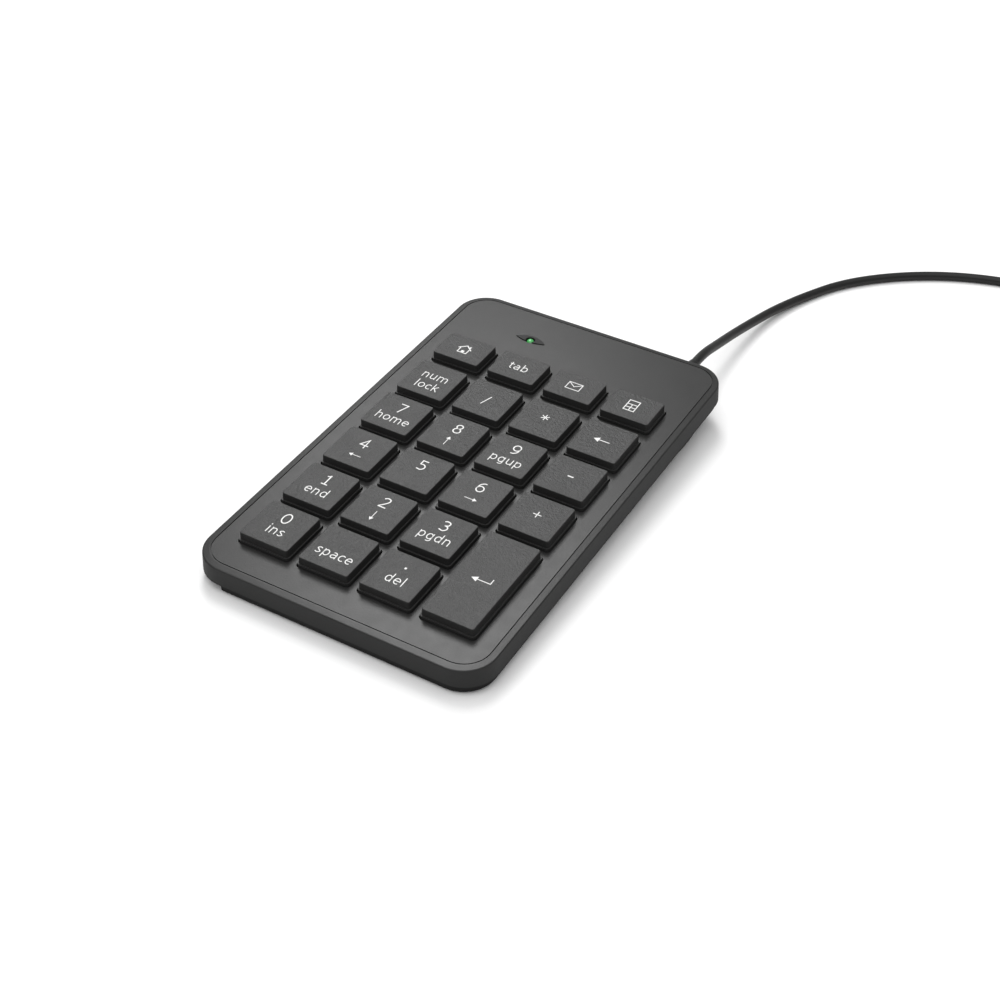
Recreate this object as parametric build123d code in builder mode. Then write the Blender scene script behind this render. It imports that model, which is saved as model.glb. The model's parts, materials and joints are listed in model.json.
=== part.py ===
from build123d import *
import os
from math import atan, atan2, cos, degrees, pi, radians, sin, tan

os.makedirs("parts", exist_ok=True)

# The case is drawn flat and stands tilted on its feet. Lengths run along it, x to the right and
# y away from the user, from its middle. Heights are square to it, up from its underside.

# Case
CASE_WIDTH = 90.1
CASE_LENGTH = 148.0
CASE_CORNER = 9.8
WALL = 2.0
WALL_LEAN_X = 0.35  # how far the top cover's side walls lean in on their way up
WALL_LEAN_Y = 0.1
SHELL_EDGE_H = 2.4  # where the top cover's wall ends and the lower tier steps in
TIER_INSET = 0.45
TIER_LEAN_X = 0.3
TIER_ROUNDING = 0.6
NOTCH_INSET = 2.4
NOTCH_END_X = -34.5
NOTCH_END_Y = -62.0
RIM_OUTER_H = 8.0
RIM_WIDTH = 1.95
RIM_ROUNDING = 0.4
DECK_H = 8.1
DECK_THICKNESS = 1.65
GROOVE_WIDTH = 0.3
GROOVE_DEPTH = 0.3
FLOOR = 1.4
LIP_H = 3.3
LIP_WIDTH = 1.2
LIP_GAP = 0.15

# Keys
PITCH = 19.05
KEY_WIDTH = 15.5
SHORT_KEY_DEPTH = 11.8
FIRST_ROW_Y = -54.1
SHORT_ROW_Y = 40.6
KEY_CORNER = 0.8
KEY_TOP_H = 11.2
KEY_WALL = 1.1
KEY_DRAFT_RUN = 0.08
SKIRT_TOP_H = 8.9
SKIRT_STEP = 0.5
KEY_LIP_TOP_H = 6.3
KEY_LIP_BOTTOM_H = 5.9
KEY_LIP_STEP = 1.2
KEY_CLEARANCE = 0.25

# Stems, domes and the frame that guides the stems
STEM_R = 3.0
STEM_BORE_R = 1.9
STEM_BOTTOM_H = 5.3
GUIDE_BORE_R = 3.1
DOME_ROOM_R = 3.7
GUIDE_R = 4.4
GUIDE_TOP_H = 7.2
FRAME_BOTTOM_H = 2.9
FRAME_TOP_H = 3.6
SHEET_TOP_H = 2.56
DOME_BASE_R = 3.45
DOME_TOP_R = 2.5
DOME_WALL = 0.45
POST_R = 0.9

# Flat stack under the keys
STACK_WIDTH = 74.4
STACK_FRONT_Y = -68.5
STACK_BACK_Y = 49.5
STACK_CORNER = 3.0
PLATE_THICKNESS = 0.4
FILM = 0.12

# Rear hump and feet
HUMP_Y = 51.1
HUMP_DEPTH = 5.3
HUMP_R = 29.5
HUMP_HALF = 42.2
HUMP_SKIN = 1.6
RIB_WIDTH = 1.2
REAR_FOOT = (16.0, 5.0)
REAR_FOOT_X = 27.0
REAR_FOOT_DEPTH = HUMP_DEPTH + 0.5
FRONT_FOOT_X = 31.5
FRONT_FOOT_Y = -63.0
FRONT_FOOT_R = 4.5
FRONT_FOOT_DEPTH = 0.8
FOOT_RECESS = 0.6

# Screws
SCREW_PLACES = [(sx * x, y) for x, y in ((40.0, -66.0), (40.0, -6.5), (37.0, 68.6)) for sx in (-1, 1)]
BOSS_R = 2.2
BOSS_SPLIT_H = 3.4
SCREW_R = 1.0
SCREW_HEAD_R = 1.9
SCREW_HEAD_TOP_H = 1.2
SCREW_TIP_H = 5.8

# Controller board and what is on it
BOARD = (50.0, 16.0)
BOARD_PLACE = (3.0, 60.0)
BOARD_BOTTOM_H = 1.0
BOARD_TOP_H = 2.0
LED_PLACE = (-15.75, 58.6)
LED_R = 1.2
LED_HOLE_R = 1.5
LED_TOP_H = 8.4
BROW_HALF_LENGTH = 5.0
BROW_FRONT = 1.1
BROW_BACK = 2.3
BROW_RISE = 0.3
TAIL_WIDTH = 22.0
TAIL_X = -3.0
CLAMP = (30.0, 3.4)
CLAMP_PLACE = (-3.0, 54.6)
CLAMP_TOP_H = 3.6
CLAMP_SCREW_REACH = 13.0

# Cord and plug
CORD_D = 3.0
CORD_LENGTH = 1500.0
CORD_X = 31.35
CORD_H = 4.4
RELIEF_R = 1.95
RELIEF_OUT = 3.9
RELIEF_IN = 7.0
COIL_R = 16.7
COIL_HALF_WIDTH = 4.7
COIL_HEIGHT = 12.2
COIL_PLACE = (134.0, 178.6)

# The tilt that puts all the feet on one level surface
TILT = atan2(REAR_FOOT_DEPTH - FRONT_FOOT_DEPTH, HUMP_Y - FRONT_FOOT_Y)
MID_WALL_H = (SHELL_EDGE_H + RIM_OUTER_H) / 2
case = Plane(
    origin=(0, MID_WALL_H * sin(TILT), -FRONT_FOOT_Y * sin(TILT) + FRONT_FOOT_DEPTH * cos(TILT)),
    x_dir=(1, 0, 0),
    z_dir=(0, -sin(TILT), cos(TILT)),
)
case_up = Axis(case.origin, case.z_dir)


def back_plane(x, y, h):
    """A plane square to the case's length, its own y up, through a point of the case."""
    return Plane(origin=case.from_local_coords((x, y, h)), x_dir=-case.x_dir, z_dir=case.y_dir)


def side_plane(x):
    """A plane square to the case's width, with y and height as its own axes."""
    return Plane(origin=case.from_local_coords((x, 0, 0)), x_dir=case.y_dir, z_dir=case.x_dir)


def case_outline(h, inset, lean_x=0.0, lean_y=0.0):
    """The case's rounded outline at a height, drawn in by an inset and further along x and y."""
    with BuildSketch(case.offset(h)) as outline:
        width = CASE_WIDTH - 2 * (inset + lean_x)
        RectangleRounded(width, CASE_LENGTH - 2 * (inset + lean_y), CASE_CORNER - inset)
    return outline


def rim_outline(h, inset):
    """The outline on top of the leaning walls, drawn in by an inset."""
    return case_outline(h, inset, WALL_LEAN_X, WALL_LEAN_Y)


def write(piece, name):
    piece.part.label = name
    export_step(piece.part, f"parts/{name}.step")


def column_x(column):
    return (column - 1.5) * PITCH


def row_y(row):
    return FIRST_ROW_Y + row * PITCH


# Each key's place and depth: name -> (x, y, depth)
ROWS = [
    ["0", "space", "decimal"],
    ["1", "2", "3"],
    ["4", "5", "6", "plus"],
    ["7", "8", "9", "minus"],
    ["num_lock", "divide", "multiply", "backspace"],
]
keys = {
    f"key_{name}": (column_x(column), row_y(row), KEY_WIDTH)
    for row, names in enumerate(ROWS)
    for column, name in enumerate(names)
}
keys["key_enter"] = (column_x(3), row_y(0.5), KEY_WIDTH + PITCH)
for column, name in enumerate(["home_page", "tab", "mail", "calculator"]):
    keys[f"key_{name}"] = (column_x(column), SHORT_ROW_Y, SHORT_KEY_DEPTH)
dome_places = [(x, y) for x, y, depth in keys.values()]
enter_x, enter_y, enter_depth = keys["key_enter"]
enter_posts = [(enter_x, enter_y + side * PITCH / 2) for side in (-1, 1)]


# ---- Keycaps: a capped box, a skirt that fills its opening, a lip under the deck and a stem
def make_keycap(x, y, depth, stems):
    with BuildPart() as keycap:
        with BuildSketch(case.offset(SKIRT_TOP_H)):
            with Locations((x, y)):
                RectangleRounded(KEY_WIDTH + 2 * KEY_DRAFT_RUN, depth + 2 * KEY_DRAFT_RUN, KEY_CORNER)
        rise = KEY_TOP_H - SKIRT_TOP_H
        extrude(amount=rise, taper=degrees(atan(KEY_DRAFT_RUN / rise)))
        fillet(keycap.edges().group_by(case_up)[-1], 0.25)
        with BuildSketch(case.offset(SKIRT_TOP_H)):
            with Locations((x, y)):
                RectangleRounded(KEY_WIDTH + 2 * SKIRT_STEP, depth + 2 * SKIRT_STEP, KEY_CORNER + SKIRT_STEP)
        extrude(amount=KEY_LIP_TOP_H - SKIRT_TOP_H)
        with BuildSketch(case.offset(KEY_LIP_BOTTOM_H)):
            with Locations((x, y)):
                RectangleRounded(KEY_WIDTH + 2 * KEY_LIP_STEP, depth + 2 * KEY_LIP_STEP, 1.0)
        extrude(amount=KEY_LIP_TOP_H - KEY_LIP_BOTTOM_H)
        with BuildSketch(case.offset(KEY_LIP_BOTTOM_H)):
            with Locations((x, y)):
                RectangleRounded(KEY_WIDTH - 2 * KEY_WALL, depth - 2 * KEY_WALL, 0.5)
        ceiling = KEY_TOP_H - KEY_WALL
        extrude(amount=ceiling - KEY_LIP_BOTTOM_H, mode=Mode.SUBTRACT)
        with BuildSketch(case.offset(STEM_BOTTOM_H)):
            with Locations(*stems):
                Circle(STEM_R)
                Circle(STEM_BORE_R, mode=Mode.SUBTRACT)
        extrude(amount=ceiling - STEM_BOTTOM_H)
    return keycap


for name, (x, y, depth) in keys.items():
    stems = [(x, y)] + (enter_posts if name == "key_enter" else [])
    write(make_keycap(x, y, depth, stems), name)

# ---- Top cover: leaning walls, a band that slopes up to the deck, an opening for each key, and
# screw bosses inside
with BuildPart() as top_cover:
    loft([case_outline(SHELL_EDGE_H, 0).sketch.face(), rim_outline(RIM_OUTER_H, 0).sketch.face()])
    loft([rim_outline(RIM_OUTER_H, 0).sketch.face(), rim_outline(DECK_H, RIM_WIDTH).sketch.face()])
    rim_edges = top_cover.edges().filter_by_position(case_up, RIM_OUTER_H - 0.01, RIM_OUTER_H + 0.01)
    fillet(rim_edges, RIM_ROUNDING)
    # the low brow behind the light: it rises from the deck to a steep front
    led_x, led_y = LED_PLACE
    brow_ends = [(led_x + side * BROW_HALF_LENGTH, led_y) for side in (-1, 1)]
    with BuildSketch(case.offset(DECK_H - BROW_RISE)):
        with BuildLine():
            ThreePointArc(brow_ends[0], (led_x, led_y + BROW_BACK), brow_ends[1])
            ThreePointArc(brow_ends[1], (led_x, led_y - BROW_FRONT), brow_ends[0])
        make_face()
    brow_slope = atan(BROW_RISE / (BROW_BACK + BROW_FRONT))
    extrude(amount=2 * BROW_RISE)
    slope_start = case.from_local_coords((led_x, led_y + BROW_BACK, DECK_H))
    slope = Plane(origin=slope_start, x_dir=case.x_dir, z_dir=case.z_dir).rotated((-degrees(brow_slope), 0, 0))
    with BuildSketch(slope):
        Rectangle(4 * BROW_HALF_LENGTH, 4 * BROW_BACK, align=(Align.CENTER, Align.MAX))
    extrude(amount=2 * BROW_RISE, mode=Mode.SUBTRACT)
    with BuildSketch(case.offset(DECK_H)):
        add(rim_outline(DECK_H, RIM_WIDTH).sketch)
        add(rim_outline(DECK_H, RIM_WIDTH + GROOVE_WIDTH).sketch, mode=Mode.SUBTRACT)
    extrude(amount=-GROOVE_DEPTH, mode=Mode.SUBTRACT)
    ceiling = DECK_H - DECK_THICKNESS
    extrude(case_outline(SHELL_EDGE_H, WALL).sketch, amount=ceiling - SHELL_EDGE_H, mode=Mode.SUBTRACT)
    with BuildSketch(case.offset(DECK_H)):
        for x, y, depth in keys.values():
            room = 2 * (SKIRT_STEP + KEY_CLEARANCE)
            with Locations((x, y)):
                RectangleRounded(KEY_WIDTH + room, depth + room, KEY_CORNER + SKIRT_STEP)
    extrude(amount=-DECK_THICKNESS, mode=Mode.SUBTRACT)
    # the hole that the light stands in
    with BuildSketch(case.offset(DECK_H + BROW_RISE)):
        with Locations(LED_PLACE):
            Circle(LED_HOLE_R)
    extrude(amount=-DECK_THICKNESS - BROW_RISE, mode=Mode.SUBTRACT)
    # screw bosses down to the split, each with a blind hole for its screw
    with BuildSketch(case.offset(BOSS_SPLIT_H + 0.05)):
        with Locations(*SCREW_PLACES):
            Circle(BOSS_R)
    extrude(amount=ceiling - BOSS_SPLIT_H - 0.05)
    with BuildSketch(case.offset(BOSS_SPLIT_H)):
        with Locations(*SCREW_PLACES):
            Circle(SCREW_R)
    extrude(amount=SCREW_TIP_H + 0.2 - BOSS_SPLIT_H, mode=Mode.SUBTRACT)
    # the slot that the strain relief's neck sits in, open at the wall's lower edge
    with BuildSketch(back_plane(CORD_X, CASE_LENGTH / 2 + 1, CORD_H)):
        Circle(RELIEF_R + 0.05)
        with Locations((0, -RELIEF_R)):
            Rectangle(2 * RELIEF_R + 0.1, 2 * RELIEF_R)
    extrude(amount=-WALL - 1.5, mode=Mode.SUBTRACT)
write(top_cover, "top_cover")


# ---- Bottom cover: inset tier, locating lip, hollow rear hump on ribs, bosses and foot recesses
def hump_profile(plane, radius, top_h):
    """A segment of the hump's round underside, cut off level at a height."""
    with BuildSketch(plane) as profile:
        with Locations((HUMP_Y, HUMP_R - HUMP_DEPTH)):
            Circle(radius)
        with Locations((HUMP_Y, top_h - HUMP_R)):
            Rectangle(3 * HUMP_R, 2 * HUMP_R, mode=Mode.INTERSECT)
    return profile.sketch


tier_inner_inset = WALL + LIP_GAP + LIP_WIDTH
with BuildPart() as bottom_cover:
    extrude(case_outline(0, TIER_INSET, TIER_LEAN_X).sketch, amount=SHELL_EDGE_H)
    fillet(bottom_cover.edges().group_by(case_up)[0], TIER_ROUNDING)
    # a shallow notch for opening the case takes one front corner of the tier
    with BuildSketch(case):
        with Locations((NOTCH_END_X, NOTCH_END_Y)):
            Rectangle(CASE_WIDTH, CASE_LENGTH, align=(Align.MAX, Align.MAX))
        add(case_outline(0, NOTCH_INSET).sketch, mode=Mode.SUBTRACT)
    extrude(amount=SHELL_EDGE_H, mode=Mode.SUBTRACT)
    extrude(hump_profile(side_plane(0), HUMP_R, SHELL_EDGE_H / 2), amount=HUMP_HALF, both=True)
    hump_ends = bottom_cover.edges().filter_by(GeomType.CIRCLE)
    hump_ends = hump_ends.filter_by(lambda edge: abs(edge.radius - HUMP_R) < 0.01)
    fillet(hump_ends, 1.2)
    extrude(case_outline(SHELL_EDGE_H, WALL + LIP_GAP).sketch, amount=LIP_H - SHELL_EDGE_H)
    extrude(case_outline(FLOOR, tier_inner_inset).sketch, amount=LIP_H - FLOOR, mode=Mode.SUBTRACT)
    hollow = hump_profile(side_plane(0), HUMP_R - HUMP_SKIN, FLOOR)
    extrude(hollow, amount=HUMP_HALF - HUMP_SKIN, both=True, mode=Mode.SUBTRACT)
    for x in (-26.0, -9.0, 9.0, 26.0):
        rib = hump_profile(side_plane(x - RIB_WIDTH / 2), HUMP_R - HUMP_SKIN / 2, FLOOR)
        extrude(rib, amount=RIB_WIDTH)
    clamp_screws_at = [(CLAMP_PLACE[0] + s * CLAMP_SCREW_REACH, CLAMP_PLACE[1]) for s in (-1, 1)]
    with BuildSketch(case.offset(-HUMP_DEPTH + HUMP_SKIN / 2)):
        with Locations(*clamp_screws_at):
            Circle(BOSS_R)
    extrude(amount=HUMP_DEPTH - HUMP_SKIN / 2 + BOARD_BOTTOM_H)
    with BuildSketch(case.offset(BOARD_BOTTOM_H)):
        with Locations(BOARD_PLACE):
            Rectangle(BOARD[0] + 0.6, BOARD[1] + 0.6)
    extrude(amount=FLOOR - BOARD_BOTTOM_H, mode=Mode.SUBTRACT)
    with BuildSketch(case.offset(FLOOR / 2)):
        with Locations(*SCREW_PLACES):
            Circle(BOSS_R)
    extrude(amount=BOSS_SPLIT_H - FLOOR / 2)
    with BuildSketch(case.offset(BOSS_SPLIT_H)):
        with Locations(*SCREW_PLACES):
            Circle(SCREW_R + 0.15)
    extrude(amount=-BOSS_SPLIT_H, mode=Mode.SUBTRACT)
    with BuildSketch(case.offset(SCREW_HEAD_TOP_H)):
        with Locations(*SCREW_PLACES):
            Circle(SCREW_HEAD_R + 0.1)
    extrude(amount=-SCREW_HEAD_TOP_H - 1, mode=Mode.SUBTRACT)
    with BuildSketch(case.offset(BOARD_BOTTOM_H)):
        with Locations(*clamp_screws_at):
            Circle(0.9)
    extrude(amount=-4.0, mode=Mode.SUBTRACT)
    with BuildSketch(case.offset(FOOT_RECESS)):
        with Locations(*[(side * FRONT_FOOT_X, FRONT_FOOT_Y) for side in (-1, 1)]):
            Circle(FRONT_FOOT_R + 0.1)
    extrude(amount=-2, mode=Mode.SUBTRACT)
    with BuildSketch(case.offset(FOOT_RECESS - HUMP_DEPTH)):
        with Locations(*[(side * REAR_FOOT_X, HUMP_Y) for side in (-1, 1)]):
            SlotOverall(REAR_FOOT[0] + 0.2, REAR_FOOT[1] + 0.2)
    extrude(amount=-2, mode=Mode.SUBTRACT)
    # a pocket in the lip and the wall's foot holds the strain relief's block
    with BuildSketch(case.offset(FLOOR + 0.1)):
        with Locations((CORD_X, CASE_LENGTH / 2 - WALL - 1.25)):
            Rectangle(6.0, 2.7)
    extrude(amount=LIP_H - FLOOR - 0.1, mode=Mode.SUBTRACT)
write(bottom_cover, "bottom_cover")


# ---- Rubber feet, sunk in their recesses and level where they stand
def make_feet(outline, places, top_h):
    with BuildPart() as feet:
        with BuildSketch(case.offset(top_h)):
            with Locations(*places):
                outline()
        extrude(amount=-3.0)
        split(bisect_by=Plane.XY, keep=Keep.TOP)
    return feet


front_places = [(side * FRONT_FOOT_X, FRONT_FOOT_Y) for side in (-1, 1)]
rear_places = [(side * REAR_FOOT_X, HUMP_Y) for side in (-1, 1)]
write(make_feet(lambda: Circle(FRONT_FOOT_R), front_places, FOOT_RECESS), "front_feet")
write(make_feet(lambda: SlotOverall(*REAR_FOOT), rear_places, FOOT_RECESS - HUMP_DEPTH), "rear_feet")


# ---- Flat stack: steel plate, three membrane films and the dome sheet
def stack_sheet(h, thickness, tail=False):
    with BuildPart() as sheet:
        with BuildSketch(case.offset(h)):
            with Locations((0, (STACK_FRONT_Y + STACK_BACK_Y) / 2)):
                RectangleRounded(STACK_WIDTH, STACK_BACK_Y - STACK_FRONT_Y, STACK_CORNER)
            if tail:
                with Locations((TAIL_X, STACK_BACK_Y + 3.0)):
                    Rectangle(TAIL_WIDTH, 9.0)
        extrude(amount=thickness)
    return sheet


film_h = FLOOR + PLATE_THICKNESS
write(stack_sheet(FLOOR, PLATE_THICKNESS), "backing_plate")
write(stack_sheet(film_h, FILM), "membrane_bottom")
write(stack_sheet(film_h + FILM, FILM), "membrane_spacer")
write(stack_sheet(film_h + 2 * FILM, FILM, tail=True), "membrane_top")

sheet_h = film_h + 3 * FILM
dome_rise = STEM_BOTTOM_H - SHEET_TOP_H
with BuildPart() as dome_sheet:
    add(stack_sheet(sheet_h, SHEET_TOP_H - sheet_h).part)
    with BuildSketch(case.offset(SHEET_TOP_H)):
        with Locations(*dome_places):
            Circle(DOME_BASE_R)
    extrude(amount=dome_rise, taper=degrees(atan((DOME_BASE_R - DOME_TOP_R) / dome_rise)))
    with BuildSketch(case.offset(sheet_h)):
        with Locations(*dome_places):
            Circle(DOME_BASE_R - DOME_WALL)
    extrude(amount=dome_rise, taper=degrees(atan((DOME_BASE_R - DOME_TOP_R) / dome_rise)), mode=Mode.SUBTRACT)
    with BuildSketch(case.offset(SHEET_TOP_H + 0.8)):
        with Locations(*dome_places):
            Circle(1.2)
    extrude(amount=dome_rise - 1.0)
write(dome_sheet, "dome_sheet")

# ---- Key frame: a plate with a round guide for every stem, and posts up to the deck
post_places = [
    (column_x(column + 0.5), row_y(row + 0.5))
    for row in range(4)
    for column in range(3)
    if (column, row) != (2, 0)
]
with BuildPart() as key_frame:
    with BuildSketch(case.offset(FRAME_BOTTOM_H)):
        with Locations((0, (STACK_FRONT_Y + STACK_BACK_Y) / 2)):
            RectangleRounded(STACK_WIDTH, STACK_BACK_Y - STACK_FRONT_Y, STACK_CORNER)
    extrude(amount=FRAME_TOP_H - FRAME_BOTTOM_H)
    with BuildSketch(case.offset(SHEET_TOP_H)):
        with Locations((0, (STACK_FRONT_Y + STACK_BACK_Y) / 2)):
            RectangleRounded(STACK_WIDTH, STACK_BACK_Y - STACK_FRONT_Y, STACK_CORNER)
            RectangleRounded(STACK_WIDTH - 3, STACK_BACK_Y - STACK_FRONT_Y - 3, 1.5, mode=Mode.SUBTRACT)
    extrude(amount=FRAME_BOTTOM_H - SHEET_TOP_H)
    with BuildSketch(case.offset(FRAME_BOTTOM_H)):
        with Locations(*dome_places, *enter_posts):
            Circle(GUIDE_R)
    extrude(amount=GUIDE_TOP_H - FRAME_BOTTOM_H)
    with BuildSketch(case.offset(GUIDE_TOP_H)):
        with Locations(*dome_places, *enter_posts):
            Circle(GUIDE_BORE_R)
    extrude(amount=FRAME_BOTTOM_H - GUIDE_TOP_H, mode=Mode.SUBTRACT)
    with BuildSketch(case.offset(FRAME_BOTTOM_H)):
        with Locations(*dome_places):
            Circle(DOME_ROOM_R)
    extrude(amount=STEM_BOTTOM_H + 0.1 - FRAME_BOTTOM_H, mode=Mode.SUBTRACT)
    with BuildSketch(case.offset(FRAME_TOP_H)):
        with Locations(*post_places):
            Circle(POST_R)
    extrude(amount=DECK_H - DECK_THICKNESS - FRAME_TOP_H)
write(key_frame, "key_frame")


# ---- Screws: a domed head with a cross slot, and a plain shank
def make_screws(places, head_h, head_thickness, head_r, shank_r, shank_length, turned):
    """Screws whose heads' undersides are at a height. Turned ones drive upwards."""
    way = 1 if turned else -1
    with BuildPart() as screws:
        with BuildSketch(case.offset(head_h)):
            with Locations(*places):
                Circle(head_r)
        extrude(amount=-way * head_thickness)
        with BuildSketch(case.offset(head_h)):
            with Locations(*places):
                Circle(shank_r)
        extrude(amount=way * shank_length)
        with BuildSketch(case.offset(head_h - way * head_thickness)):
            with Locations(*places):
                Rectangle(1.2 * head_r, 0.4)
                Rectangle(0.4, 1.2 * head_r)
        extrude(amount=way * head_thickness / 2, mode=Mode.SUBTRACT)
    return screws


case_screw_length = SCREW_TIP_H - SCREW_HEAD_TOP_H
case_screws = make_screws(SCREW_PLACES, SCREW_HEAD_TOP_H, 1.0, SCREW_HEAD_R, SCREW_R, case_screw_length, True)
write(case_screws, "case_screws")
write(make_screws(clamp_screws_at, CLAMP_TOP_H, 0.8, 1.6, 0.9, 6.0, False), "clamp_screws")

# ---- Clamp bar that presses the membrane's tail on the board
with BuildPart() as membrane_clamp:
    with BuildSketch(case.offset(sheet_h)):
        with Locations(CLAMP_PLACE):
            RectangleRounded(*CLAMP, 0.8)
        with Locations(*clamp_screws_at):
            Circle(0.9, mode=Mode.SUBTRACT)
    extrude(amount=CLAMP_TOP_H - sheet_h)
    fillet(membrane_clamp.faces().sort_by(case_up)[-1].outer_wire().edges(), 0.3)
write(membrane_clamp, "membrane_clamp")

# ---- Controller board with holes for the clamp's screws and the light's leads
lead_places = [(LED_PLACE[0] + side * 1.27, LED_PLACE[1]) for side in (-1, 1)]
with BuildPart() as controller_board:
    with BuildSketch(case.offset(BOARD_BOTTOM_H)):
        with Locations(BOARD_PLACE):
            RectangleRounded(*BOARD, 1.0)
        with Locations(*clamp_screws_at):
            Circle(1.1, mode=Mode.SUBTRACT)
        with Locations(*lead_places):
            Circle(0.4, mode=Mode.SUBTRACT)
    extrude(amount=BOARD_TOP_H - BOARD_BOTTOM_H)
write(controller_board, "controller_board")

CHIP_PLACE = (5.0, 62.5)
with BuildPart() as controller_chip:
    with BuildSketch(case.offset(BOARD_TOP_H + 0.15)):
        with Locations(CHIP_PLACE):
            Rectangle(10.2, 4.0)
    extrude(amount=1.6)
    chamfer(controller_chip.faces().sort_by(case_up)[-1].edges(), 0.2)
    with BuildSketch(case.offset(BOARD_TOP_H)):
        with Locations(CHIP_PLACE):
            with GridLocations(1.27, 5.0, 8, 2):
                Rectangle(0.45, 1.2)
    extrude(amount=0.7)
write(controller_chip, "controller_chip")

with BuildPart() as board_components:
    with BuildSketch(case.offset(BOARD_TOP_H)):
        with Locations((-9.0, 60.5), (-9.0, 63.5), (-5.5, 65.5), (13.5, 58.5), (13.5, 65.5)):
            Rectangle(2.0, 1.25)
    extrude(amount=0.8)
    with BuildSketch(case.offset(BOARD_TOP_H)):
        with Locations((-16.0, 64.5)):
            Circle(2.0)
    extrude(amount=3.6)
write(board_components, "board_components")

PLUG_HOUSING = (10.0, 4.6)
PLUG_HOUSING_PLACE = (21.0, 61.0)
with BuildPart() as cable_connector:
    with BuildSketch(case.offset(BOARD_TOP_H)):
        with Locations(PLUG_HOUSING_PLACE):
            Rectangle(*PLUG_HOUSING)
    extrude(amount=3.6)
    with BuildSketch(case.offset(BOARD_TOP_H + 3.6)):
        with Locations(PLUG_HOUSING_PLACE):
            Rectangle(8.8, 2.2)
    extrude(amount=-0.8, mode=Mode.SUBTRACT)
write(cable_connector, "cable_connector")

# ---- Status light: a domed lens body, and its two leads down to the board
with BuildPart() as status_led:
    with BuildSketch(case.offset(4.0)):
        with Locations(LED_PLACE):
            Circle(LED_R)
    extrude(amount=LED_TOP_H - 4.0)
    fillet(status_led.edges().group_by(case_up)[-1], LED_R - 0.05)
    with BuildSketch(case.offset(3.6)):
        with Locations(LED_PLACE):
            Circle(LED_R + 0.35)
    extrude(amount=0.8)
write(status_led, "status_led")

with BuildPart() as led_leads:
    with BuildSketch(case.offset(0.5)):
        with Locations(*lead_places):
            Rectangle(0.45, 0.45)
    extrude(amount=3.1)
write(led_leads, "led_leads")

# ---- Strain relief: a block inside the wall, a neck through it and a short tapered sleeve outside
wall_y = CASE_LENGTH / 2
with BuildPart() as strain_relief:
    with BuildSketch(back_plane(CORD_X, wall_y, CORD_H)):
        Circle(RELIEF_R)
    extrude(amount=-RELIEF_IN)
    with BuildSketch(back_plane(CORD_X, wall_y - WALL - 0.1, CORD_H)):
        with Locations((0, -0.5)):
            RectangleRounded(5.4, 4.6, 0.6)
    extrude(amount=-2.2)
    with BuildSketch(back_plane(CORD_X, wall_y, CORD_H)):
        Circle(RELIEF_R + 0.35)
    with BuildSketch(back_plane(CORD_X, wall_y + RELIEF_OUT, CORD_H)):
        Circle(CORD_D / 2 + 0.25)
    loft()
write(strain_relief, "strain_relief")

# ---- Four thin wires from the strain relief to the connector on the board
WIRE_R = 0.42
WIRE_PITCH = 0.95
with BuildPart() as wires:
    for n in range(4):
        across = WIRE_PITCH * (n - 1.5)
        wire_x = CORD_X + across
        wire_y = PLUG_HOUSING_PLACE[1] - across
        start = case.from_local_coords((wire_x, wall_y - RELIEF_IN, CORD_H))
        corner = case.from_local_coords((wire_x, wire_y, CORD_H))
        end = case.from_local_coords((PLUG_HOUSING_PLACE[0] + PLUG_HOUSING[0] / 2, wire_y, CORD_H))
        with BuildLine() as wire_path:
            FilletPolyline(start, corner, end, radius=2.0)
        with BuildSketch(Plane(origin=start, z_dir=-case.y_dir)):
            Circle(WIRE_R)
        sweep(path=wire_path.line)
write(wires, "wires")

# ---- Cord: straight out of the strain relief, down to the surface and round to the right
LEAD_ROUTE = [
    (31.35, 77.87, 11.36),
    (31.35, 87.86, 11.8),
    (32.2, 101.0, 8.3),
    (32.5, 117.0, 5.0),
    (34.7, 133.5, 2.5),
    (39.6, 149.5, 1.5),
    (48.1, 166.0, 1.5),
    (62.5, 181.0, 1.5),
    (79.5, 192.0, 1.5),
    (98.0, 198.2, 1.5),
    (114.0, 199.9, 1.5),
    (126.0, 198.4, 1.5),
]
TAIL_ROUTE = [
    (153.8, 176.6, 10.6),
    (154.6, 167.0, 10.2),
    (155.6, 158.0, 6.6),
    (156.0, 149.0, 3.8),
    (156.0, 140.0, 3.8),
]


def make_cord(route, name):
    """A round tube along straight runs joined by arcs as large as the runs allow."""
    points = [Vector(*point) for point in route]
    runs = [end - start for start, end in zip(points, points[1:])]
    radii = []
    for run, following in zip(runs, runs[1:]):
        turn = radians(run.get_angle(following))
        radii.append(0.45 * min(run.length, following.length) / tan(turn / 2))
    with BuildPart() as cord:
        with BuildLine() as path:
            FilletPolyline(*points, radius=radii)
        with BuildSketch(Plane(origin=points[0], z_dir=runs[0])):
            Circle(CORD_D / 2)
        sweep(path=path.wires()[0])
    length = path.wires()[0].length
    section = pi * (CORD_D / 2) ** 2
    print(f"{name}: length {length:.1f} mm, volume ratio {cord.part.volume / (section * length):.4f}")
    print("  arc radii", [round(radius, 1) for radius in radii])
    return cord, length


lead, lead_length = make_cord(LEAD_ROUTE, "cord_lead")
write(lead, "cord_lead")
tail, tail_length = make_cord(TAIL_ROUTE, "cord_tail")
write(tail, "cord_tail")
turns = (CORD_LENGTH - lead_length - tail_length) / (2 * pi * COIL_R)
print(f"coil: {turns:.2f} turns of {COIL_R} mm radius")

with BuildPart() as cord_coil:
    with BuildSketch(Plane.XY):
        with Locations(COIL_PLACE):
            Circle(COIL_R + COIL_HALF_WIDTH)
            Circle(COIL_R - COIL_HALF_WIDTH, mode=Mode.SUBTRACT)
    extrude(amount=COIL_HEIGHT)
    fillet(cord_coil.edges(), 1.4)
write(cord_coil, "cord_coil")

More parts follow.
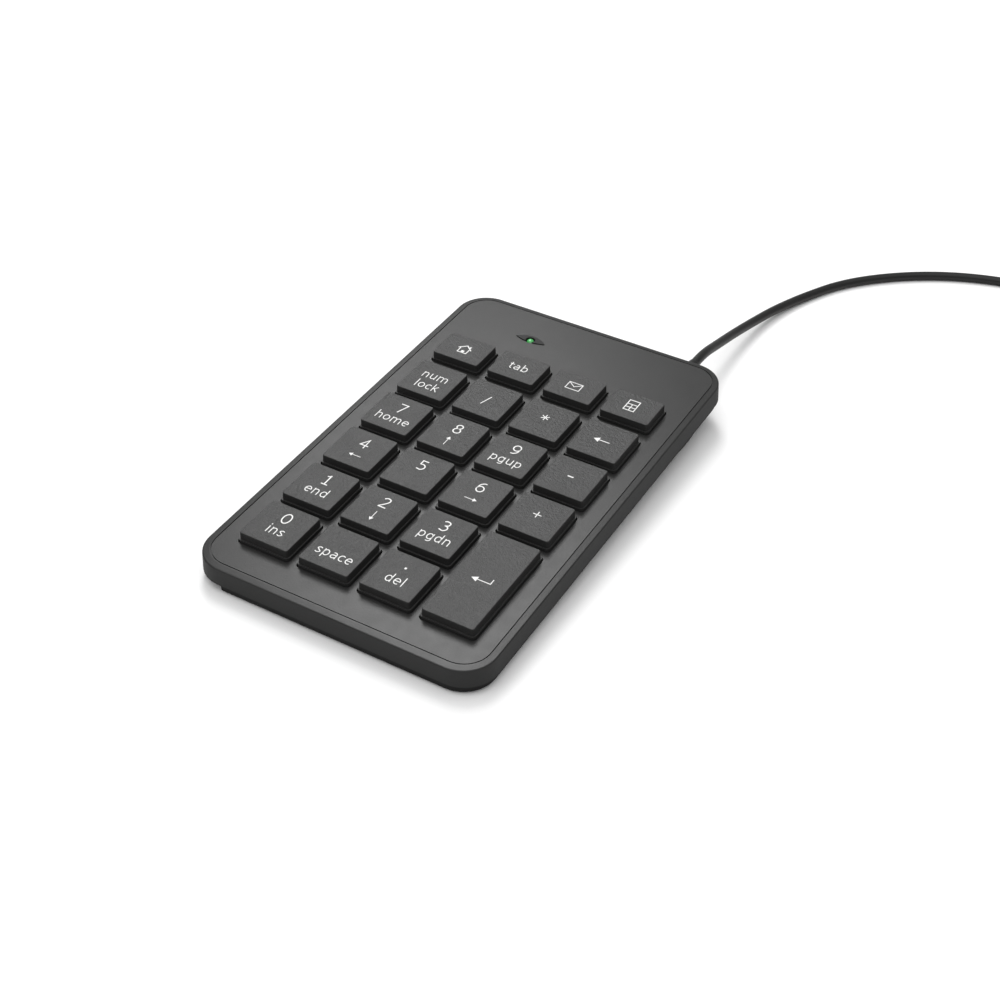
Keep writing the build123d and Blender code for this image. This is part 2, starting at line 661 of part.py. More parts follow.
# ---- Plug: a moulded grip, a steel shell, and the insulator with its four contacts
PLUG_X, PLUG_START_Y, PLUG_H = TAIL_ROUTE[-1]
GRIP_WIDTH = 15.4
SLEEVE_LENGTH = 7.0
GRIP_LENGTH = 19.0
GRIP_GROOVES = 5
GRIP_GROOVE_START = 2.4
GRIP_GROOVE_PITCH = 2.0
GRIP_GROOVE_WIDTH = 0.8
GRIP_GROOVE_DEPTH = 0.5
SHELL_WIDTH = 12.0
SHELL_HEIGHT = 4.5
SHELL_LENGTH = 11.9
SHELL_SHEET = 0.3
grip_y = PLUG_START_Y - SLEEVE_LENGTH
shell_y = grip_y - GRIP_LENGTH


def plug_plane(y):
    """A plane square to the plug, facing its open end, its own y up."""
    return Plane(origin=(PLUG_X, y, PLUG_H), x_dir=(1, 0, 0), z_dir=(0, -1, 0))


with BuildPart() as plug_grip:
    with BuildSketch(plug_plane(PLUG_START_Y)):
        Circle(CORD_D / 2 + 0.3)
    with BuildSketch(plug_plane(grip_y)):
        Circle(CORD_D / 2 + 1.2)
    loft()
    with BuildSketch(plug_plane(grip_y)):
        RectangleRounded(GRIP_WIDTH, 2 * PLUG_H, 1.6)
    extrude(amount=GRIP_LENGTH)
    ends = plug_grip.faces().filter_by(Axis.Y).sort_by(Axis.Y)
    fillet(ends[0].edges() + ends[-2].outer_wire().edges(), 0.6)
    for n in range(GRIP_GROOVES):
        with BuildSketch(plug_plane(grip_y - GRIP_GROOVE_START - n * GRIP_GROOVE_PITCH)):
            with Locations((-GRIP_WIDTH / 2, 0), (GRIP_WIDTH / 2, 0)):
                Rectangle(2 * GRIP_GROOVE_DEPTH, 2 * PLUG_H)
        extrude(amount=GRIP_GROOVE_WIDTH, mode=Mode.SUBTRACT)
write(plug_grip, "plug_grip")

with BuildPart() as plug_shell:
    with BuildSketch(plug_plane(shell_y)):
        RectangleRounded(SHELL_WIDTH, SHELL_HEIGHT, 0.6)
        RectangleRounded(SHELL_WIDTH - 2 * SHELL_SHEET, SHELL_HEIGHT - 2 * SHELL_SHEET, 0.3, mode=Mode.SUBTRACT)
    extrude(amount=SHELL_LENGTH)
write(plug_shell, "plug_shell")

with BuildPart() as plug_insulator:
    with BuildSketch(plug_plane(shell_y)):
        with Locations((0, -0.95)):
            Rectangle(SHELL_WIDTH - 2 * SHELL_SHEET - 0.8, 1.9)
    extrude(amount=SHELL_LENGTH - 0.8)
write(plug_insulator, "plug_insulator")

with BuildPart() as plug_contacts:
    with BuildSketch(plug_plane(shell_y)):
        with Locations((0, 0.1)):
            with GridLocations(2.2, 1, 4, 1):
                Rectangle(1.0, 0.2)
    extrude(amount=SHELL_LENGTH - 1.6)
write(plug_contacts, "plug_contacts")

print(f"tilt {degrees(TILT):.3f} degrees")
relief_end = case.from_local_coords((CORD_X, wall_y + RELIEF_OUT, CORD_H))
print("strain relief ends at", [round(value, 3) for value in relief_end])
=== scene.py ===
import json
import math

import bmesh
import bpy
from mathutils import Matrix, Vector


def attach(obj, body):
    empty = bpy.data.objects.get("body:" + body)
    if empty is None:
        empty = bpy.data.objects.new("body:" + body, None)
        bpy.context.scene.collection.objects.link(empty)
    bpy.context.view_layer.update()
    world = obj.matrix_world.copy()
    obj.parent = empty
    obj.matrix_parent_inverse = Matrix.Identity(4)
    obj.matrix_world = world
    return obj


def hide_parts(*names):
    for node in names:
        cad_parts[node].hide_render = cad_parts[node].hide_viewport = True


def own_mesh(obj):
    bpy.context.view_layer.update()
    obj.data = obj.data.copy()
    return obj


MM = 0.001
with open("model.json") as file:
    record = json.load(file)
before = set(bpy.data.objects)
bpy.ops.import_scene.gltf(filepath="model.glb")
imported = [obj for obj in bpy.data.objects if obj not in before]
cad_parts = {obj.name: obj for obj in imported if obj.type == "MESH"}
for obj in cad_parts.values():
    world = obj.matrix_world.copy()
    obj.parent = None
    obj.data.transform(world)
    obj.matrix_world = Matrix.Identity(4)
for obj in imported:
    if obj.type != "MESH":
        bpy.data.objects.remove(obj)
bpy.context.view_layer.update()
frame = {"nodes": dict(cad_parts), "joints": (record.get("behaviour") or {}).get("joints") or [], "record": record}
nodes = frame["nodes"]

# The case stands tilted. Its axes are the world's, turned so that "up" is square to its deck,
# against the way the keys travel.
press = Vector(frame["joints"][0]["axis"]).normalized()
RIGHT = Vector((1, 0, 0))
UP = -press
BACK = UP.cross(RIGHT).normalized()
CASE = Matrix((RIGHT, BACK, UP)).transposed()
TO_CASE = CASE.transposed()


def case_extent(node):
    """The lowest and highest corner of a CAD node along the case's own axes, in metres."""
    points = [TO_CASE @ vertex.co for vertex in nodes[node].data.vertices]
    return [Vector(limit(p[i] for p in points) for i in range(3)) for limit in (min, max)]


# ---------------------------------------------------------------- camera
CAMERA_AZIMUTH = 29.258
CAMERA_ELEVATION = 38.148
CAMERA_ROLL = 1.809
CAMERA_DISTANCE = 458.6 * MM
CAMERA_LENS = 59.47
CAMERA_NEAR = 10 * MM
CAMERA_TARGET = Vector((12.9, -8.77, 8.0)) * MM


def make_camera():
    azimuth, elevation = math.radians(CAMERA_AZIMUTH), math.radians(CAMERA_ELEVATION)
    away = Vector((math.sin(azimuth) * math.cos(elevation), -math.cos(azimuth) * math.cos(elevation),
                   math.sin(elevation)))
    camera = bpy.data.objects.new("camera", bpy.data.cameras.new("camera"))
    camera.data.lens = CAMERA_LENS
    camera.data.clip_start = CAMERA_NEAR
    camera.location = CAMERA_TARGET + away * CAMERA_DISTANCE
    level = (-away).to_track_quat("-Z", "Y").to_matrix()
    roll = Matrix.Rotation(math.radians(CAMERA_ROLL), 3, "Z")
    camera.rotation_euler = (level @ roll).to_euler()
    bpy.context.scene.collection.objects.link(camera)
    bpy.context.scene.camera = camera


make_camera()


# ---------------------------------------------------------------- materials
class Shader:
    """A node material, with short calls for the nodes that the materials here share."""

    def __init__(self, name):
        self.material = bpy.data.materials.new(name)
        self.material.use_nodes = True
        self.tree = self.material.node_tree
        self.surface = self.tree.nodes["Principled BSDF"]
        self.place = self.node("ShaderNodeTexCoord").outputs["Object"]

    def node(self, kind, **settings):
        made = self.tree.nodes.new(kind)
        for key, value in settings.items():
            setattr(made, key, value)
        return made

    def link(self, source, target):
        self.tree.links.new(source, target)

    def set(self, **values):
        for key, value in values.items():
            self.surface.inputs[key.replace("_", " ")].default_value = value

    def noise(self, scale, detail=2.0, roughness=0.5, stretch=(1, 1, 1)):
        place = self.place
        if stretch != (1, 1, 1):
            mapping = self.node("ShaderNodeMapping")
            mapping.inputs["Scale"].default_value = stretch
            self.link(place, mapping.inputs["Vector"])
            place = mapping.outputs["Vector"]
        made = self.node("ShaderNodeTexNoise")
        made.inputs["Scale"].default_value = scale
        made.inputs["Detail"].default_value = detail
        made.inputs["Roughness"].default_value = roughness
        self.link(place, made.inputs["Vector"])
        return made.outputs["Fac"]

    def mix(self, factor, first, second):
        made = self.node("ShaderNodeMix", data_type="RGBA")
        self.link(factor, made.inputs["Factor"])
        for value, socket in ((first, made.inputs["A"]), (second, made.inputs["B"])):
            if isinstance(value, tuple):
                socket.default_value = (*value, 1)
            else:
                self.link(value, socket)
        return made.outputs["Result"]

    def blend(self, factor, first, second):
        """A number that goes from the first, a constant, to the second as the factor rises."""
        made = self.node("ShaderNodeMix", data_type="FLOAT")
        made.inputs["A"].default_value = first
        self.link(factor, made.inputs["Factor"])
        self.link(second, made.inputs["B"])
        return made.outputs["Result"]

    def range(self, source, low, high, from_low=0.3, from_high=0.7):
        made = self.node("ShaderNodeMapRange")
        limits = {"From Min": from_low, "From Max": from_high, "To Min": low, "To Max": high}
        for key, value in limits.items():
            made.inputs[key].default_value = value
        self.link(source, made.inputs["Value"])
        return made.outputs["Result"]

    def bump(self, height, strength, distance, under=None):
        made = self.node("ShaderNodeBump")
        made.inputs["Strength"].default_value = strength
        made.inputs["Distance"].default_value = distance
        self.link(height, made.inputs["Height"])
        if under is not None:
            self.link(under, made.inputs["Normal"])
        self.link(made.outputs["Normal"], self.surface.inputs["Normal"])
        return made.outputs["Normal"]


# A face counts as a wall where its normal rises less than the first, and as a top above the second.
WALL_RISE = 0.5
TOP_RISE = 0.85
GLOSS_SPREAD = 0.02


def grey(value, tint):
    return tuple(value * t for t in tint)


def moulded(name, dark, light, rough, grain, depth, specular=0.5, tint=(1, 1, 0.985), side=1.0,
            side_rough=None):
    """Moulded plastic or rubber: mottled colour, uneven gloss and a fine spark-eroded grain.

    The grain's depth is in millimetres. Where side_rough is given, the walls have that roughness,
    and the dark colour times the side factor, which below 1 is a painted shade on the walls.
    """
    shader = Shader(name)
    cloud = shader.noise(90, 4, 0.6)
    speck = shader.noise(grain * 0.7, 3, 0.6)
    base = shader.mix(shader.range(cloud, 0, 1), grey(dark, tint), grey(light, tint))
    base = shader.mix(shader.range(speck, 0.35, 0, 0.35, 0.5), base, grey(dark * 0.5, tint))
    gloss = shader.range(shader.noise(220, 3), rough - GLOSS_SPREAD, rough + GLOSS_SPREAD)
    if side_rough is not None:
        facing = shader.node("ShaderNodeSeparateXYZ")
        shader.link(shader.node("ShaderNodeTexCoord").outputs["Normal"], facing.inputs["Vector"])
        level = shader.range(facing.outputs["Z"], 0, 1, WALL_RISE, TOP_RISE)
        # Painted shade: walls take the flat dark colour times the side factor, so they come out darker than the
        # tops.
        base = shader.mix(level, grey(dark * side, tint), base)
        gloss = shader.blend(level, side_rough, gloss)
    shader.link(base, shader.surface.inputs["Base Color"])
    shader.link(gloss, shader.surface.inputs["Roughness"])
    shader.set(Specular_IOR_Level=specular)
    coarse = shader.bump(shader.noise(grain * 0.4, 2), 0.5, depth * MM)
    shader.bump(shader.noise(grain, 3, 0.65), 0.8, depth / 2 * MM, coarse)
    return shader.material


def metal(name, color, rough, stretch=(1, 1, 1)):
    """Bright metal with fine drawn marks and faint smudges."""
    shader = Shader(name)
    marks = shader.noise(2500, 2, 0.5, stretch)
    smudge = shader.noise(160, 3)
    shader.link(shader.mix(shader.range(smudge, 0, 1), color, tuple(0.82 * c for c in color)),
                shader.surface.inputs["Base Color"])
    shader.link(shader.range(marks, rough, rough + 0.12), shader.surface.inputs["Roughness"])
    shader.set(Metallic=1.0)
    shader.bump(marks, 0.25, 0.02 * MM)
    return shader.material


def glowing(name, color, strength):
    """Clear tinted resin, lit from inside."""
    shader = Shader(name)
    depth = shader.noise(700, 2)
    shader.link(shader.mix(shader.range(depth, 0, 1), color, tuple(0.75 * c for c in color)),
                shader.surface.inputs["Base Color"])
    shader.set(Roughness=0.12, Coat_Weight=0.6, Coat_Roughness=0.05, Emission_Strength=strength)
    shader.surface.inputs["Emission Color"].default_value = (*color, 1)
    return shader.material


def film(name):
    """Clear polyester film with a faint milky tint."""
    shader = Shader(name)
    haze = shader.noise(300, 3)
    shader.link(shader.mix(shader.range(haze, 0, 1), (0.62, 0.66, 0.6), (0.7, 0.73, 0.68)),
                shader.surface.inputs["Base Color"])
    shader.set(Roughness=0.25, Alpha=0.7)
    return shader.material


def laminate(name):
    """Circuit board laminate: green resist over lighter copper tracks."""
    shader = Shader(name)
    tracks = shader.node("ShaderNodeTexWave", wave_type="BANDS", bands_direction="DIAGONAL")
    tracks.inputs["Scale"].default_value = 260
    tracks.inputs["Distortion"].default_value = 6
    shader.link(shader.place, tracks.inputs["Vector"])
    lines = tracks.outputs["Fac"]
    shader.link(shader.mix(shader.range(lines, 0, 1, 0.6, 0.7), (0.01, 0.09, 0.03), (0.03, 0.19, 0.06)),
                shader.surface.inputs["Base Color"])
    shader.set(Roughness=0.35)
    shader.bump(lines, 0.3, 0.03 * MM)
    return shader.material


def ink(name):
    """White printed ink, very slightly uneven."""
    shader = Shader(name)
    wear = shader.noise(2500, 3)
    shader.link(shader.mix(shader.range(wear, 0, 1), (0.8, 0.8, 0.79), (0.68, 0.68, 0.67)),
                shader.surface.inputs["Base Color"])
    shader.set(Roughness=0.5)
    shader.bump(wear, 0.2, 0.01 * MM)
    return shader.material


FINISHES = {
    # side=0.9 on the keys is painted shade that darkens the key walls against the tops.
    "key_plastic": (moulded, dict(dark=0.022, light=0.027, rough=0.37, grain=3000, depth=0.27,
                                  specular=0.36, side=0.9, side_rough=0.6)),
    "deck_plastic": (moulded, dict(dark=0.017, light=0.019, rough=0.32, grain=4500, depth=0.03,
                                   specular=0.27, side_rough=0.68)),
    "base_plastic": (moulded, dict(dark=0.006, light=0.008, rough=0.7, grain=2600, depth=0.06,
                                   specular=0.2)),
    "foot_rubber": (moulded, dict(dark=0.014, light=0.02, rough=0.8, grain=1800, depth=0.04,
                                  specular=0.3)),
    "plate_steel": (metal, dict(color=(0.6, 0.6, 0.6), rough=0.3, stretch=(1, 12, 1))),
    "membrane_film": (film, {}),
    "dome_rubber": (moulded, dict(dark=0.5, light=0.56, rough=0.55, grain=900, depth=0.02)),
    "screw_steel": (metal, dict(color=(0.45, 0.45, 0.46), rough=0.28)),
    "board_laminate": (laminate, {}),
    "chip_resin": (moulded, dict(dark=0.02, light=0.026, rough=0.5, grain=3000, depth=0.02)),
    "connector_plastic": (moulded, dict(dark=0.7, light=0.75, rough=0.35, grain=2000, depth=0.01,
                                        tint=(1, 0.98, 0.92))),
    "led_resin": (glowing, dict(color=(0.06, 0.4, 0.1), strength=0.12)),
    "contact_metal": (metal, dict(color=(0.85, 0.62, 0.25), rough=0.2)),
    "cord_jacket": (moulded, dict(dark=0.010, light=0.012, rough=0.42, grain=3000, depth=0.03,
                                  specular=0.27)),
    "wire_insulation": (moulded, dict(dark=0.4, light=0.45, rough=0.35, grain=1500, depth=0.01,
                                      tint=(1, 0.1, 0.08))),
    "shell_metal": (metal, dict(color=(0.74, 0.74, 0.74), rough=0.14, stretch=(1, 8, 1))),
}
finishes = {name: make(name, **values) for name, (make, values) in FINISHES.items()}
legend_ink = ink("legend_ink")

for entry in frame["record"]["subparts"]:
    mesh = nodes[entry["node"]].data
    mesh.materials.clear()
    mesh.materials.append(finishes[entry["material_slot"]])


# ---------------------------------------------------------------- cord
CORD_R = 1.5
CORD_DIAMETER = 2 * CORD_R * MM
# The routes and the coil are in millimetres.
LEAD_ROUTE = [
    (31.35, 77.87, 11.36),
    (31.35, 84.0, 11.6),
    (31.3, 95.0, 8.9),
    (31.7, 108.0, 6.3),
    (32.8, 121.0, 4.0),
    (35.1, 135.0, 2.4),
    (40.0, 150.0, 1.5),
    (48.1, 166.0, 1.5),
    (62.5, 181.0, 1.5),
    (79.5, 192.0, 1.5),
    (98.0, 198.2, 1.5),
    (114.0, 199.9, 1.5),
    (126.0, 198.4, 1.5),
]
TAIL_ROUTE = [
    (153.8, 176.6, 10.6),
    (154.6, 167.0, 10.2),
    (155.6, 158.0, 6.6),
    (156.0, 149.0, 3.8),
    (156.0, 140.0, 3.8),
]
COIL_PLACE = Vector((134.0, 178.6))
COIL_R = 16.7
COLUMN_PITCH = 3.1
LAYER_PITCH = 3.05
COLUMNS = 3
LAYERS = 4
STEPS = 20


def on_turn(column, layer, share):
    """A point of the coil, a share of a turn clockwise from the back."""
    radius = COIL_R + (column - (COLUMNS - 1) / 2) * COLUMN_PITCH
    angle = math.pi / 2 - 2 * math.pi * share
    return (COIL_PLACE.x + radius * math.cos(angle), COIL_PLACE.y + radius * math.sin(angle),
            CORD_R + layer * LAYER_PITCH)


def quarter_done(share, quarter):
    """How much of one quarter of a turn is done, from 0 to 1."""
    return min(1, max(0, 4 * share - quarter))


def coil_points():
    """Turns wound clockwise, seen from above, from the back of the outer one.

    They go in along one layer and out along the next. A turn climbs in its third quarter and moves
    across in its last, and one quarter more leads to the tail.
    """
    order = []
    for layer in range(LAYERS):
        columns = range(COLUMNS - 1, -1, -1) if layer % 2 == 0 else range(COLUMNS)
        order += [(column, layer) for column in columns]
    order.append(order[-1])
    points = []
    for (column, layer), (next_column, next_layer) in zip(order, order[1:]):
        for step in range(STEPS):
            share = step / STEPS
            across = column + (next_column - column) * quarter_done(share, 3)
            up = layer + (next_layer - layer) * quarter_done(share, 2)
            points.append(on_turn(across, up, share))
    points += [on_turn(*order[-1], step / STEPS) for step in range(STEPS // 4)]
    return points


def make_cord():
    curve = bpy.data.curves.new("cord", "CURVE")
    curve.dimensions = "3D"
    curve.bevel_depth = CORD_DIAMETER / 2
    curve.bevel_resolution = 5
    curve.use_fill_caps = True
    route = LEAD_ROUTE + coil_points()[1:] + TAIL_ROUTE
    spline = curve.splines.new("NURBS")
    spline.points.add(len(route) - 1)
    for point, place in zip(spline.points, route):
        point.co = (*(value * MM for value in place), 1)
    spline.order_u = 3
    spline.use_endpoint_u = True
    curve.resolution_u = 6
    curve.materials.append(finishes["cord_jacket"])
    cord = bpy.data.objects.new("cord", curve)
    bpy.context.scene.collection.objects.link(cord)
    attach(cord, "case")
    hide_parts("cord_lead", "cord_coil", "cord_tail")


make_cord()


# ---------------------------------------------------------------- rubber domes
DOME_RISE = 2.74 * MM
CUT_ABOVE_SHEET = 0.02 * MM
# A dome lies within this distance of its key's middle, and its two circles share one middle.
DOME_ROOM = 6 * MM
MIDDLES_APART = 0.6 * MM
WELD = 0.002 * MM
ON_THE_CUT = 0.0001 * MM


def close_walls(form, rim):
    """Closes a cut dome wall with a flat ring between its outer circle and its inner one."""
    loops = []
    left = set(rim)
    while left:
        edge = left.pop()
        loop = [edge.verts[0], edge.verts[1]]
        while True:
            following = next((e for e in loop[-1].link_edges if e in left), None)
            if following is None:
                break
            left.remove(following)
            loop.append(following.other_vert(loop[-1]))
        loops.append(loop[:-1])
    middles = [sum((vertex.co for vertex in loop), Vector()) / len(loop) for loop in loops]
    for n, loop in enumerate(loops):
        for other, middle in zip(loops[n + 1:], middles[n + 1:]):
            if (middles[n] - middle).length < MIDDLES_APART:
                edges = [edge for edge in rim if edge.verts[0] in loop + other]
                bmesh.ops.bridge_loops(form, edges=edges)


def cut_off(mesh, place, keep_above):
    """A copy of a mesh cut square to the case's up axis at a place, closed, and kept on one side."""
    form = bmesh.new()
    form.from_mesh(mesh)
    bmesh.ops.remove_doubles(form, verts=form.verts, dist=WELD)
    everything = form.verts[:] + form.edges[:] + form.faces[:]
    cut = bmesh.ops.bisect_plane(form, geom=everything, dist=ON_THE_CUT, plane_co=place,
                                 plane_no=UP, clear_inner=keep_above,
                                 clear_outer=not keep_above)
    rim = [item for item in cut["geom_cut"] if isinstance(item, bmesh.types.BMEdge)]
    close_walls(form, rim)
    bmesh.ops.recalc_face_normals(form, faces=form.faces)
    return form


def keep_near(form, middle):
    """Drops the islands of a form that aren't around a point."""
    far = [vertex for vertex in form.verts
           if (TO_CASE @ vertex.co - middle).xy.length > DOME_ROOM]
    bmesh.ops.delete(form, geom=far, context="VERTS")


def add_rubber(form, name):
    mesh = bpy.data.meshes.new(name)
    form.to_mesh(mesh)
    form.free()
    mesh.materials.append(finishes["dome_rubber"])
    piece = bpy.data.objects.new(name, mesh)
    bpy.context.scene.collection.objects.link(piece)
    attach(piece, "case")
    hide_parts("dome_sheet")
    return piece


def make_domes():
    """The dome sheet as a flat base, and one dome under each key, each with a mesh of its own."""
    top = case_extent("dome_sheet")[1].z - DOME_RISE + CUT_ABOVE_SHEET
    source = nodes["dome_sheet"].data
    place = CASE @ Vector((0, 0, top))
    add_rubber(cut_off(source, place, False), "dome_base")
    domes = cut_off(source, place, True)
    for key in sorted(name for name in nodes if name.startswith("key_") and name != "key_frame"):
        first, last = case_extent(key)
        middle = (first + last) / 2
        form = domes.copy()
        keep_near(form, middle)
        dome = add_rubber(form, key.replace("key_", "dome_"))
        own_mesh(dome)
    domes.free()


make_domes()


# ---------------------------------------------------------------- legends
# Each mark is drawn flat, in millimetres from the middle of its key, x right and y away from the
# user, and laid as a thin coat of ink on the keycap. Letters are single lines of even width.
INK_THICKNESS = 0.02 * MM
WORD_LINE = 0.28
DIGIT_LINE = 0.36
SIGN_LINE = 0.28
X_LINE = 2.3
BASE_LINE = 0.2
ASCENDER = 3.5
DESCENDER = -0.85
STEM_TOP = 2.5
ARCH_R = 0.75
ARCH_LEAN = 0.08
ENDS_MEET = 0.001
SHARPEST_MITRE = 0.4


def bow(x, y, rx, ry, start, end, steps=14):
    """Points along part of an ellipse, by angles in degrees, anticlockwise from the right."""
    angles = [math.radians(start + (end - start) * n / steps) for n in range(steps + 1)]
    return [(x + rx * math.cos(angle), y + ry * math.sin(angle)) for angle in angles]


def smooth(points, steps=6):
    """A soft line through the points (Catmull-Rom)."""
    line = [Vector(point) for point in points]
    line = [2 * line[0] - line[1], *line, 2 * line[-1] - line[-2]]
    out = []
    for a, b, c, d in zip(line, line[1:], line[2:], line[3:]):
        for n in range(steps):
            t = n / steps
            out.append((2 * b + (c - a) * t + (2 * a - 5 * b + 4 * c - d) * t ** 2
                        + (3 * b - a - 3 * c + d) * t ** 3) / 2)
    return [tuple(point) for point in out + [line[-2]]]


def arch(left, right, top=X_LINE, foot=0.0):
    """The right side of an n: out of its stem, over, and down to the foot."""
    middle = (left + right) / 2 + ARCH_LEAN
    return (bow(middle, top - ARCH_R, middle - left, ARCH_R, 180, 90, 7)
            + bow(middle, top - ARCH_R, right - middle, ARCH_R, 90, 0, 7)[1:] + [(right, foot)])


ROUND = (X_LINE + BASE_LINE) / 2
ROUND_R = (X_LINE - BASE_LINE) / 2
STEM = 0.55
# letter -> (advance, lines)
LETTERS = {
    "a": (2.44, [[(1.92, 0), (1.92, 1.5)] + bow(1.2, 1.5, 0.72, 0.8, 0, 125, 10)[1:],
                 [(1.92, 1.42), (1.3, 1.38)] + bow(1.15, 0.79, 0.72, 0.59, 90, 270, 10)
                 + smooth([(1.15, 0.2), (1.6, 0.4), (1.92, 0.75)])[1:]]),
    "b": (2.57, [[(STEM, 0), (STEM, ASCENDER)], bow(1.34, ROUND, 0.79, ROUND_R, 180, -180, 24)]),
    "c": (2.15, [bow(1.26, ROUND, 0.86, ROUND_R, 50, 310, 18)]),
    "d": (2.57, [[(2.02, 0), (2.02, ASCENDER)], bow(1.23, ROUND, 0.79, ROUND_R, 0, 360, 24)]),
    "e": (2.45, [[(0.4, 1.32), (2.07, 1.32)] + bow(1.24, ROUND, 0.84, ROUND_R, 4, 308, 22)[1:]]),
    "g": (2.57, [bow(1.23, ROUND, 0.79, ROUND_R, 0, 360, 24),
                 [(2.02, 2.5), (2.02, -0.05)] + bow(1.3, -0.02, 0.72, 0.63, 0, -125, 10)[1:]]),
    "h": (2.59, [[(STEM, 0), (STEM, ASCENDER)], arch(STEM, 2.04)]),
    "i": (1.1, [[(STEM, 0), (STEM, STEM_TOP)], [(STEM, 3.05), (STEM, ASCENDER)]]),
    "k": (2.31, [[(STEM, 0), (STEM, ASCENDER)], [(0.7, 1.2), (1.95, 2.5)],
                 [(0.98, 1.45), (2.12, 0)]]),
    "l": (1.1, [[(STEM, 0), (STEM, ASCENDER)]]),
    "m": (3.9, [[(STEM, 0), (STEM, STEM_TOP)], arch(STEM, 1.95), arch(1.95, 3.35)]),
    "n": (2.59, [[(STEM, 0), (STEM, STEM_TOP)], arch(STEM, 2.04)]),
    "o": (2.52, [bow(1.26, ROUND, 0.88, ROUND_R, 0, 360, 24)]),
    "p": (2.57, [[(STEM, DESCENDER), (STEM, STEM_TOP)], bow(1.34, ROUND, 0.79, ROUND_R, 180, -180, 24)]),
    "s": (2.08, [smooth([(1.72, 2.1), (1.12, 2.3), (0.5, 1.82), (1.05, 1.32), (1.7, 0.75), (1.02, 0.2),
                         (0.34, 0.42)])]),
    "t": (1.55, [[(0.62, 3.15), (0.62, 0.75)] + bow(1.14, 0.74, 0.52, 0.54, 180, 285, 8)[1:],
                 [(0.08, X_LINE), (1.46, X_LINE)]]),
    "u": (2.59, [[(0.53, 2.5), (0.53, 0.95)] + bow(1.2, 0.95, 0.67, 0.75, 180, 270, 7)[1:]
                 + smooth([(1.2, 0.2), (1.7, 0.42), (2.04, 0.85)])[1:], [(2.04, 2.5), (2.04, 0)]]),
}
# digit -> lines, about the digit's middle across and its baseline
DIGITS = {
    "0": [bow(0, 2.12, 1.2, 1.9, 0, 360, 30)],
    "1": [[(0.1, 0.2), (0.1, 4.25)], [(-0.85, 3.5), (-0.3, 3.6), (0.1, 4.1)],
          [(-0.9, 0.2), (1.1, 0.2)]],
    "2": [smooth([(-1.05, 3.5), (-0.15, 4.04), (0.85, 3.65), (0.85, 2.7), (0.1, 1.6), (-1.1, 0.3)]),
          [(-1.25, 0.21), (1.2, 0.21)]],
    "3": [smooth([(-0.98, 3.72), (-0.1, 4.04), (0.85, 3.6), (0.7, 2.6), (-0.3, 2.28)]),
          smooth([(-0.3, 2.28), (0.75, 2.0), (1.02, 1.1), (0.25, 0.24), (-1.08, 0.46)])],
    "4": [[(0.42, 0), (0.42, 4.05), (-1.28, 1.3), (1.35, 1.3)]],
    "5": [[(0.98, 4.04), (-0.78, 4.04), (-0.78, 2.3)],
          smooth([(-0.78, 2.38), (0.1, 2.55), (0.95, 1.95), (0.98, 1.0), (0.2, 0.24), (-1.05, 0.42)])],
    "6": [smooth([(0.88, 4.0), (0.0, 3.85), (-0.8, 2.95), (-1.1, 1.4)]),
          bow(0.0, 1.38, 1.1, 1.17, 180, -180, 24)],
    "7": [[(-1.25, 4.04), (1.08, 4.04), (-0.45, 0)]],
    "8": [bow(0, 3.17, 0.92, 0.86, -90, 270, 24), bow(0, 1.26, 1.1, 1.05, 90, 450, 24)],
    "9": [bow(0, 2.86, 1.1, 1.18, 0, 360, 24),
          smooth([(1.1, 2.85), (0.85, 1.3), (0.0, 0.4), (-0.92, 0.25)])],
}


